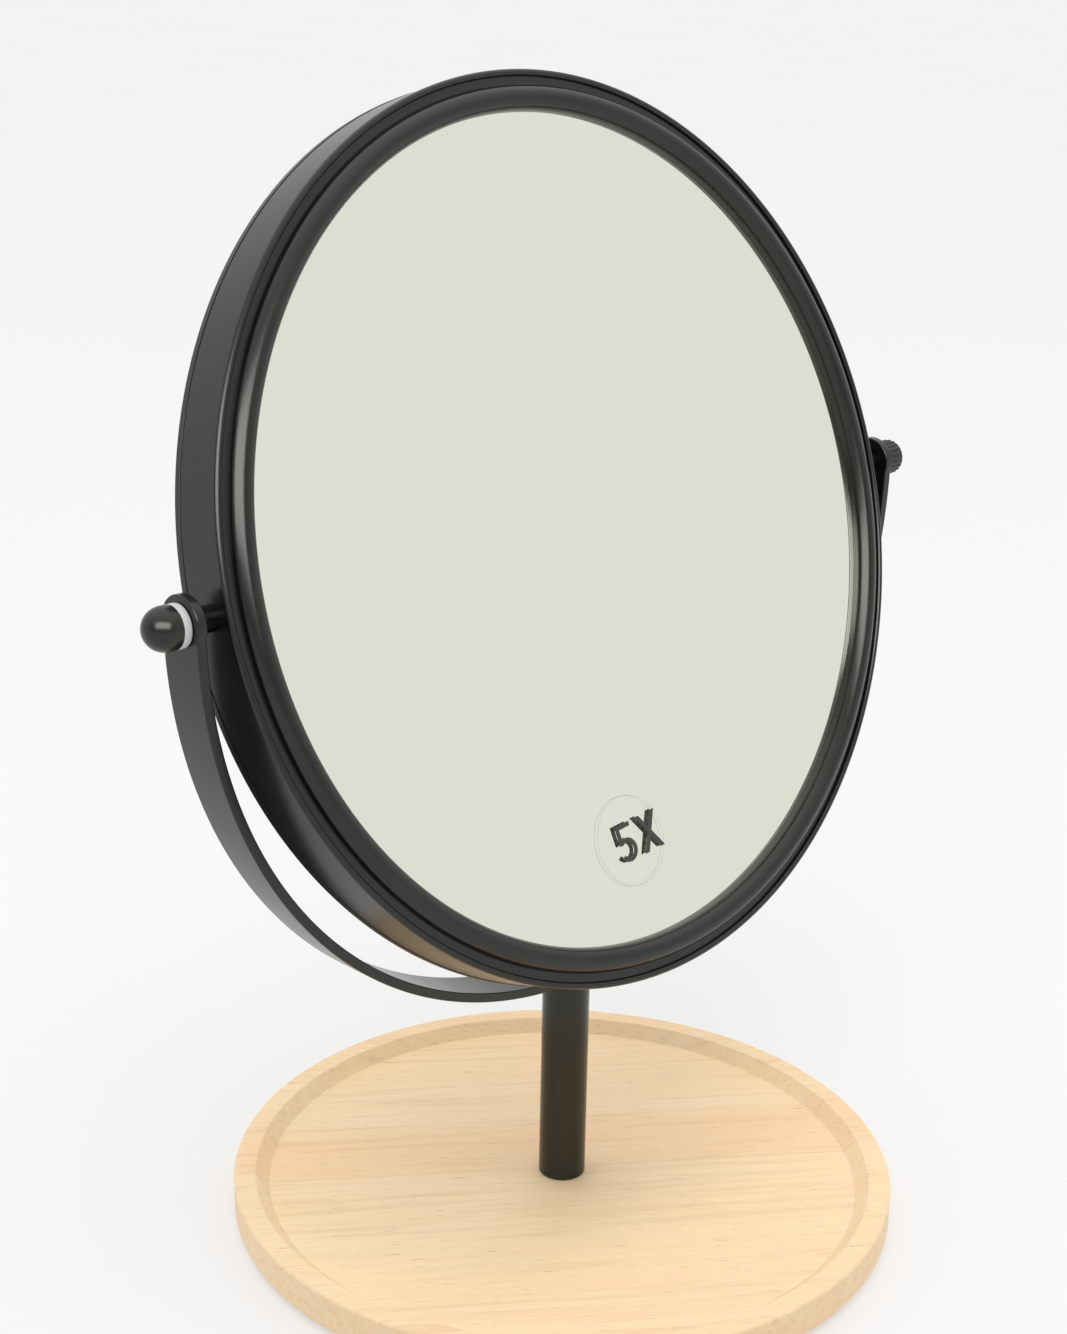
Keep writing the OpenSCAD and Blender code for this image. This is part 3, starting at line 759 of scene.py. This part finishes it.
class MIRROR_OT_yoke(bpy.types.Operator):
    """Bends the flat strip into the yoke, with its round ears and three holes"""

    bl_idname = "mirror.yoke"
    bl_label = "Yoke"

    def execute(self, context):
        outer = YOKE_HI[0]
        inner = outer - STRIP_THICK
        ear = YOKE_HI[2] - PIVOT_Z
        edge = sizes("mirror_paint").yoke_edge
        join = math.asin(min(1, STRIP_HALF / ear))
        # one half's outline, from the ear's top to the lowest point: (distance below the pivot, half width, normal)
        outline = []
        for k in range(25):
            a = k / 24 * (math.pi - join)
            outline.append((-ear * math.cos(a), ear * math.sin(a), (-math.cos(a), math.sin(a))))
        ear_end = outline[-1][0]
        length = math.pi / 2 * outer
        for k in range(1, 73):
            outline.append((ear_end + (length - ear_end) * k / 72, STRIP_HALF, (0.0, 1.0)))
        whole = outline + [(2 * length - s, w, (-nrm[0], nrm[1])) for s, w, nrm in reversed(outline[:-1])]
        levels = []
        for k in range(6):
            a = math.radians(90 * k / 5)
            levels.append((edge * (1 - math.sin(a)), edge * (1 - math.cos(a))))
        across = levels + [(d, STRIP_THICK - t) for d, t in reversed(levels)]

        def bent(s, y, t):
            """s along the outside of the strip from the left pivot, t inwards from the outer face."""
            r = outer - t
            if s < 0:
                return (-r, y, PIVOT_Z - s)
            if s > 2 * length:
                return (r, y, PIVOT_Z + (s - 2 * length))
            a = s / outer
            return (-r * math.cos(a), y, PIVOT_Z - r * math.sin(a))

        points, index = [], {}
        for level, (inset, depth) in enumerate(across):
            for row, (s, w, nrm) in enumerate(whole):
                for side in (-1, 1):
                    index[level, row, side] = len(points)
                    points.append(bent(s - inset * nrm[0], side * max(0.0, w - inset * nrm[1]), depth))
        faces = []
        last = len(across) - 1
        for row in range(len(whole) - 1):
            for level in range(last):
                for side in (-1, 1):
                    faces.append((index[level, row, side], index[level, row + 1, side],
                                  index[level + 1, row + 1, side], index[level + 1, row, side]))
            for level in (0, last):
                faces.append((index[level, row, -1], index[level, row + 1, -1],
                              index[level, row + 1, 1], index[level, row, 1]))
        faces = [f for f in faces if len(set(f)) > 2]
        yoke = new_mesh("steel_yoke", points, faces)
        yoke.data.validate()
        for side in (-1, 1):
            drill(yoke, EAR_HOLE, on_pivot(side), inner - 2, outer + 2)
        drill(yoke, SCREW_HOLE, on_post, YOKE_LO[2] - 2, YOKE_LO[2] + STRIP_THICK + 3)
        finish_piece(yoke, "stand", "black_paint", "yoke")
        return {"FINISHED"}


def glass_face():
    """Height of the glass's rim above the hoop's middle."""
    return sizes("mirror_head").half_width - LIP_THICK


def curve_centre():
    """Height of the middle of the magnifying glass's curve above the hoop's middle."""
    ball = sizes("mirror_head").curve_radius
    return glass_face() - (ball - math.sqrt(ball * ball - GLASS_RADIUS ** 2)) + ball


def silver_height(radius):
    """Height of the magnifying side's silver above the hoop's middle, at a distance from the glass's centre."""
    s = sizes("mirror_head")
    return glass_face() - s.silver_depth - (GLASS_RADIUS ** 2 - radius ** 2) / (2 * s.curve_radius)


def bezel_profile(hollow_glass):
    """The rolled bezel: the bead that stands on the glass, the flat flange, the outer roll lapped over the hoop."""
    s = sizes("mirror_head")
    base, r_in, r_out = s.half_width, s.lip_radius, s.outer_radius
    bead = (r_in + s.bead_radius, base + (0.1 if hollow_glass else 0.6))
    roll = (r_out - s.shoulder_radius, base + (0.35 if hollow_glass else 0.95))
    lap = base - 0.45
    flange = roll[1] - 0.1
    lowest = (silver_height(r_in) if hollow_glass else glass_face() - s.silver_depth) + 0.03
    leave = math.degrees(math.asin((flange + 0.12 - bead[1]) / s.bead_radius))
    arrive = 180 - math.degrees(math.asin((flange - roll[1]) / s.shoulder_radius))
    profile = [(r_in + 0.04, lowest), (r_in, lowest + 0.04), (r_in, bead[1] - 0.3)]
    profile += arc(bead, s.bead_radius, 180, leave, 56)
    toe = bead[0] + s.bead_radius
    profile += [(toe + 0.04, flange + 0.03), (toe + 0.15, flange), (toe + 1.0, flange)]
    profile += arc(roll, s.shoulder_radius, arrive, 0, 24)
    profile += [(r_out, lap + 0.03), (r_out - 0.03, lap), (r_out - 0.12, lap)]
    profile += [(r_out - 0.12, base - 0.1), (r_out - 0.5, base - 0.1), (r_out - 1.35, base - 0.1)]
    profile += [(r_out - 1.35, base - 3.5), (r_out - 2.15, base - 3.5)]
    profile += [(r_out - 2.15, base - 1.2), (104.0, base - 1.2), (100.2, base - 1.2), (100.2, base - 0.6)]
    return profile


class MIRROR_OT_head(bpy.types.Operator):
    """Makes the hoop and the two rolled bezels"""

    bl_idname = "mirror.head"
    bl_label = "Hoop and bezels"

    def execute(self, context):
        s = sizes("mirror_head")
        outer = HOOP_HI[0] - HEAD_MIDDLE[0]
        reach = s.half_width - 0.2
        wall = s.outer_radius - 0.14
        hoop = turned("steel_hoop", rounded_tube(outer - 1.0, wall, -reach, reach, 0.1), in_head)
        for side in (-1, 1):
            drill(hoop, STUD_HOLE, on_pivot(side), outer - 6, outer + 6)
        finish_piece(hoop, "head", "black_paint", "hoop")
        for name, node, way in (("front_bezel_roll", "front_bezel", 1), ("rear_bezel_roll", "rear_bezel", -1)):
            profile = bezel_profile(way > 0)
            bezel = turned(name, [(r, way * h) for r, h in profile], in_head)
            finish_piece(bezel, "head", "black_paint", node, crease=40.0)
        return {"FINISHED"}


class MIRROR_OT_glasses(bpy.types.Operator):
    """Makes the hollow magnifying mirror and the flat one behind it, each with its silver at the back of the glass"""

    bl_idname = "mirror.glasses"
    bl_label = "Mirrors"

    def execute(self, context):
        s = sizes("mirror_head")
        face, depth, ball, centre = glass_face(), s.silver_depth, s.curve_radius, curve_centre()
        steps, flat_steps = 48, 12

        def dish(radius, reverse=False):
            row = []
            for k in range(steps + 1):
                r = GLASS_RADIUS * k / steps
                row.append((r, centre - math.sqrt(radius * radius - r * r)))
            return list(reversed(row)) if reverse else row

        front = dish(ball + depth) + dish(ball + GLASS_THICK, reverse=True)
        hollow = turned("magnifying_mirror", front, in_head)
        finish_piece(hollow, "head", "silvered_glass", "front_mirror")
        rings = [GLASS_RADIUS * k / flat_steps for k in range(flat_steps + 1)]
        flat = [(r, -face + depth) for r in rings] + [(r, -face + GLASS_THICK) for r in reversed(rings)]
        plain = turned("plain_mirror", flat, in_head)
        finish_piece(plain, "head", "silvered_glass", "rear_mirror")
        return {"FINISHED"}


class MIRROR_OT_mark(bpy.types.Operator):
    """Prints the plain magnification figure, a five and a times sign, on the label"""

    bl_idname = "mirror.mark"
    bl_label = "Magnification figure"

    def execute(self, context):
        s = sizes("mirror_mark")
        tall, w = s.height, s.stroke
        strokes = []
        # the five: top bar, upright, then the bowl as one thick curved stroke
        strokes.append([(-6.1, tall - w), (-1.6, tall - w), (-1.6, tall), (-6.1, tall)])
        strokes.append([(-6.1, tall * 0.47), (-6.1 + w, tall * 0.47), (-6.1 + w, tall - w), (-6.1, tall - w)])
        bowl, centre, rx, ry = [], (-4.1, tall * 0.315), 2.75, tall * 0.315
        sweep = np.radians(np.linspace(128, -150, 29))
        for a in sweep:
            bowl.append((centre[0] + rx * math.cos(a), centre[1] + ry * math.sin(a)))
        for a in reversed(sweep):
            bowl.append((centre[0] + (rx - w) * math.cos(a), centre[1] + (ry - w) * math.sin(a)))
        # the times sign: two crossing bars
        left, right, slant = 0.2, 6.6, w * 1.22
        strokes.append([(left, 0), (left + slant, 0), (right, tall), (right - slant, tall)])
        strokes.append([(right - slant, 0), (right, 0), (left + slant, tall), (left, tall)])
        plates = [(poly, False) for poly in strokes] + [(bowl, True)]
        points, faces = [], []
        thick, step, wider, middle_x = 0.02, 0.002, 1.13, 0.2
        for number, (poly, strip) in enumerate(plates):
            lift = step * number
            start, count = len(points), len(poly)
            for z in (lift, lift + thick):
                points += [((x - middle_x) * wider + s.aside, y - tall / 2, z) for x, y in poly]
            for i in range(count):
                j = (i + 1) % count
                faces.append((start + i, start + j, start + count + j, start + count + i))
            if strip:
                for i in range(count // 2 - 1):
                    a, b = i, i + 1
                    c, d = count - 2 - i, count - 1 - i
                    faces.append((start + a, start + b, start + c, start + d))
                    faces.append((start + count + a, start + count + b, start + count + c, start + count + d))
            else:
                faces.append(tuple(range(start, start + count)))
                faces.append(tuple(range(start + count, start + 2 * count)))
        flat = np.array(points, float)
        c, sn = math.cos(s.turn), math.sin(s.turn)
        flat = np.stack([flat[:, 0] * c - flat[:, 1] * sn, flat[:, 0] * sn + flat[:, 1] * c, flat[:, 2]], -1)
        # lay it on the label: the label's plane faces the middle of the glass's curve
        local, centre = to_head(label_middle()), np.array([0, 0, curve_centre()])
        proud = 0.08
        out = (centre - local) / np.linalg.norm(centre - local)
        side = np.array([1, 0, 0]) - out * out[0]
        side /= np.linalg.norm(side)
        up = np.cross(out, side)
        laid = local + flat[:, :1] * side + flat[:, 1:2] * up + (flat[:, 2:] + proud) * out
        mark = new_mesh("magnification_figure", in_head(laid), faces)
        finish_piece(mark, "head", "black_gloss", finish="printed_ink", crease=20.0)
        return {"FINISHED"}


class MIRROR_OT_ends(bpy.types.Operator):
    """Makes the dome nut, the ribbed knob and the washers on the pivot studs"""

    bl_idname = "mirror.ends"
    bl_label = "Pivot ends"

    def execute(self, context):
        s = sizes("mirror_ends")
        nut_low, nut_high = frame_box("left_cap_nut")
        start, end = -nut_high[0], -nut_low[0]
        radius = (nut_high[2] - nut_low[2]) / 2
        edge, hole_depth = 0.35, 5.7
        profile = [(STUD_HOLE, start), (radius - edge, start)]
        profile += arc((radius - edge, start + edge), edge, -90, 0, 5)
        profile += arc((0, end - radius), radius, 0, 90, 28)
        profile += [(0, start + hole_depth), (STUD_HOLE, start + hole_depth)]
        nut = turned("dome_nut", profile, on_pivot(-1), sides=SMALL_ROUND)
        finish_piece(nut, "head", "black_gloss", "left_cap_nut")

        low, high = frame_box("right_knob")
        start, end, radius = low[0], high[0], (high[2] - low[2]) / 2
        core, rise, bore = radius - s.rib_radius * 0.75, 1.2, 3.15
        dome = (core * core + rise * rise) / (2 * rise)
        spread = math.degrees(math.asin((core - 0.5) / dome))
        profile = [(bore, start), (core - 0.25, start), (core, start + 0.25), (core, end - rise - 0.25)]
        profile += arc((core - 0.5, end - rise - 0.25), 0.5, 0, 90 - spread, 5)[1:]
        profile += [(dome * math.sin(math.radians(spread * k / 8)),
                     end - dome + dome * math.cos(math.radians(spread * k / 8))) for k in range(7, -1, -1)]
        profile += [(0, start + 5), (bore, start + 5)]
        knob = turned("ribbed_knob", profile, on_pivot(1), sides=SMALL_ROUND)
        # one rib, lying along Z at the circle's edge, then copies round the knob
        bar_low, bar_high = start + 0.25, end - rise - 0.1
        rib_shape = [(0, bar_low), (s.rib_radius * 0.6, bar_low), (s.rib_radius, bar_low + 0.25),
                     (s.rib_radius, bar_high - 0.5), (s.rib_radius * 0.75, bar_high - 0.15), (0, bar_high)]
        rib = turned("rib", rib_shape, on_post, sides=10)
        tree, wanted = copies_tree("Ribs round the knob", s.ribs, MATERIALS["black_gloss"])
        copied_round(rib, tree, wanted, {
            "Count": s.ribs, "Radius": (radius - s.rib_radius) * MM, "First Turn": 0.0, "Height": 0.0})
        co = np.empty(len(rib.data.vertices) * 3)
        rib.data.vertices.foreach_get("co", co)
        placed = on_pivot(1)(co.reshape(-1, 3) / MM) * MM
        rib.data.vertices.foreach_set("co", placed.ravel())
        joined = bmesh.new()
        joined.from_mesh(knob.data)
        joined.from_mesh(rib.data)
        bmesh.ops.recalc_face_normals(joined, faces=joined.faces)
        joined.to_mesh(knob.data)
        joined.free()
        bpy.data.objects.remove(rib)
        finish_piece(knob, "knob", "black_gloss", "right_knob")

        for name, node, side in (("left_nylon_washer", "left_washer", -1), ("right_nylon_washer", "right_washer", 1)):
            low, high = frame_box(node)
            near, far = sorted((abs(low[0]), abs(high[0])))
            ring = rounded_tube(STUD_HOLE, (high[2] - low[2]) / 2, near, far, 0.25)
            washer = turned(name, ring, on_pivot(side), sides=SMALL_ROUND)
            finish_piece(washer, "head", "white_nylon", node)
        return {"FINISHED"}


class MIRROR_OT_finishes(bpy.types.Operator):
    """Gives each part kept from the frame the finish that its record names"""

    bl_idname = "mirror.finishes"
    bl_label = "Frame finishes"

    def execute(self, context):
        slots = {row["node"]: row["material_slot"] for row in frame["record"]["subparts"]}
        for node, piece in frame["nodes"].items():
            material = MATERIALS[slots[node]]
            if not piece.data.materials:
                piece.data.materials.append(material)
            for k in range(len(piece.data.materials)):
                piece.data.materials[k] = material
        return {"FINISHED"}


def outward(azimuth, rise):
    """The direction at so many degrees round the post, from the front, and above the floor."""
    a, e = math.radians(azimuth), math.radians(rise)
    return Vector((math.sin(a) * math.cos(e), -math.cos(a) * math.cos(e), math.sin(e)))


class MIRROR_OT_stage(bpy.types.Operator):
    """Sets the pale floor, the soft light and the camera"""

    bl_idname = "mirror.stage"
    bl_label = "Stage"

    def execute(self, context):
        s = sizes("mirror_stage")
        scene = context.scene
        scene.view_settings.view_transform = "Standard"
        far = 3e4
        floor = new_mesh("floor", [(-far, -far, 0), (far, -far, 0), (far, far, 0), (-far, far, 0)], [(0, 1, 2, 3)])
        material, n, shader, where = new_material("Pale floor")
        tone = n.span(n.noise(where, 3.0, 2.0, 0.5), 0.3, 0.7, s.floor_shade - 0.004, s.floor_shade + 0.004)
        shade = n.add("ShaderNodeCombineColor", {"Red": tone, "Green": tone, "Blue": tone}).outputs["Color"]
        wire(n, shader, Base_Color=shade, Roughness=0.9, Specular_IOR_Level=0.0,
             Emission_Color=(1.0, 1.0, 1.0, 1), Emission_Strength=s.floor_glow)
        floor.data.materials.append(material)

        self.room(scene, s)
        # a wide window seen in the paint's sheen, and a soft key lamp above it for the matt surfaces
        target, azimuth, away = Vector(HEAD_MIDDLE) * MM, -44.0, 1.6
        for name, rise, wide, high, bright, in_sheen in (
            ("front window", 33.0, 2.2, 0.8, s.lamp, True),
            ("soft key lamp", 58.0, 1.0, 1.0, s.key, False),
        ):
            out = outward(azimuth, rise)
            light = bpy.data.lights.new(name, "AREA")
            light.shape, light.size, light.size_y = "RECTANGLE", wide, high
            light.energy = bright * math.pi * wide * high
            lamp = bpy.data.objects.new(name, light)
            lamp.location = target + out * away
            lamp.rotation_euler = (-out).to_track_quat("-Z", "Y").to_euler()
            lamp.visible_diffuse = not in_sheen
            lamp.visible_glossy = in_sheen
            scene.collection.objects.link(lamp)

        camera = bpy.data.cameras.new("camera")
        camera.lens, camera.sensor_width, camera.clip_start, camera.clip_end = 60.05, 36.0, 0.01, 100.0
        holder = bpy.data.objects.new("camera", camera)
        scene.collection.objects.link(holder)
        aim, away, roll = Vector((-0.013874, 0.0, 0.149182)), 0.52927, math.radians(1.066)
        back = outward(-45.004, 18.198)
        holder.rotation_mode = "QUATERNION"
        holder.location = aim + back * away
        look = (-back).to_track_quat("-Z", "Y")
        holder.rotation_quaternion = look @ Matrix.Rotation(roll, 3, "Z").to_quaternion()
        scene.camera = holder
        return {"FINISHED"}

    def room(self, scene, s):
        """A white room, brighter overhead and dimmer behind the camera."""
        world = bpy.data.worlds.new("White room")
        world.use_nodes = True
        n = Nodes(world.node_tree)
        sight = n.add("ShaderNodeTexCoord").outputs["Generated"]
        behind = (-0.70, -0.70, 0.12)
        facing = n.add("ShaderNodeVectorMath", {0: sight, 1: behind}, operation="DOT_PRODUCT")
        dim = n.span(facing.outputs["Value"], 0.25, 0.75, 1.0, s.dim)
        rise = n.add("ShaderNodeSeparateXYZ", {"Vector": sight}).outputs["Z"]
        glow = n.span(rise, 0.35, 1.0, s.surround, s.overhead)
        back = world.node_tree.nodes["Background"]
        back.inputs["Color"].default_value = (1.0, 0.998, 0.99, 1)
        n.tree.links.new(n.math("MULTIPLY", dim, glow), back.inputs["Strength"])
        scene.world = world


class MIRROR_PT_panel(bpy.types.Panel):
    """Sizes, colours and steps of the table mirror"""

    bl_idname = "MIRROR_PT_panel"
    bl_label = "Table mirror"
    bl_space_type = "VIEW_3D"
    bl_region_type = "UI"
    bl_category = "Mirror"

    def draw(self, context):
        for operator in STEPS:
            self.layout.operator(operator.bl_idname)
        for name, kind in GROUPS.items():
            box = self.layout.box()
            for prop in kind.__annotations__:
                box.prop(getattr(context.scene, name), prop)


STEPS = (
    MIRROR_OT_tray,
    MIRROR_OT_pads,
    MIRROR_OT_post,
    MIRROR_OT_yoke,
    MIRROR_OT_head,
    MIRROR_OT_glasses,
    MIRROR_OT_mark,
    MIRROR_OT_ends,
    MIRROR_OT_finishes,
    MIRROR_OT_stage,
)
CLASSES = (*GROUPS.values(), *STEPS, MIRROR_PT_panel)


def register():
    for kind in CLASSES:
        bpy.utils.register_class(kind)
    for name, kind in GROUPS.items():
        setattr(bpy.types.Scene, name, bpy.props.PointerProperty(type=kind))


def unregister():
    for name in GROUPS:
        delattr(bpy.types.Scene, name)
    for kind in reversed(CLASSES):
        bpy.utils.unregister_class(kind)


def main():
    register()
    make_materials()
    for step in STEPS:
        space, name = step.bl_idname.split(".")
        getattr(getattr(bpy.ops, space), name)()


if __name__ == "__main__":
    main()
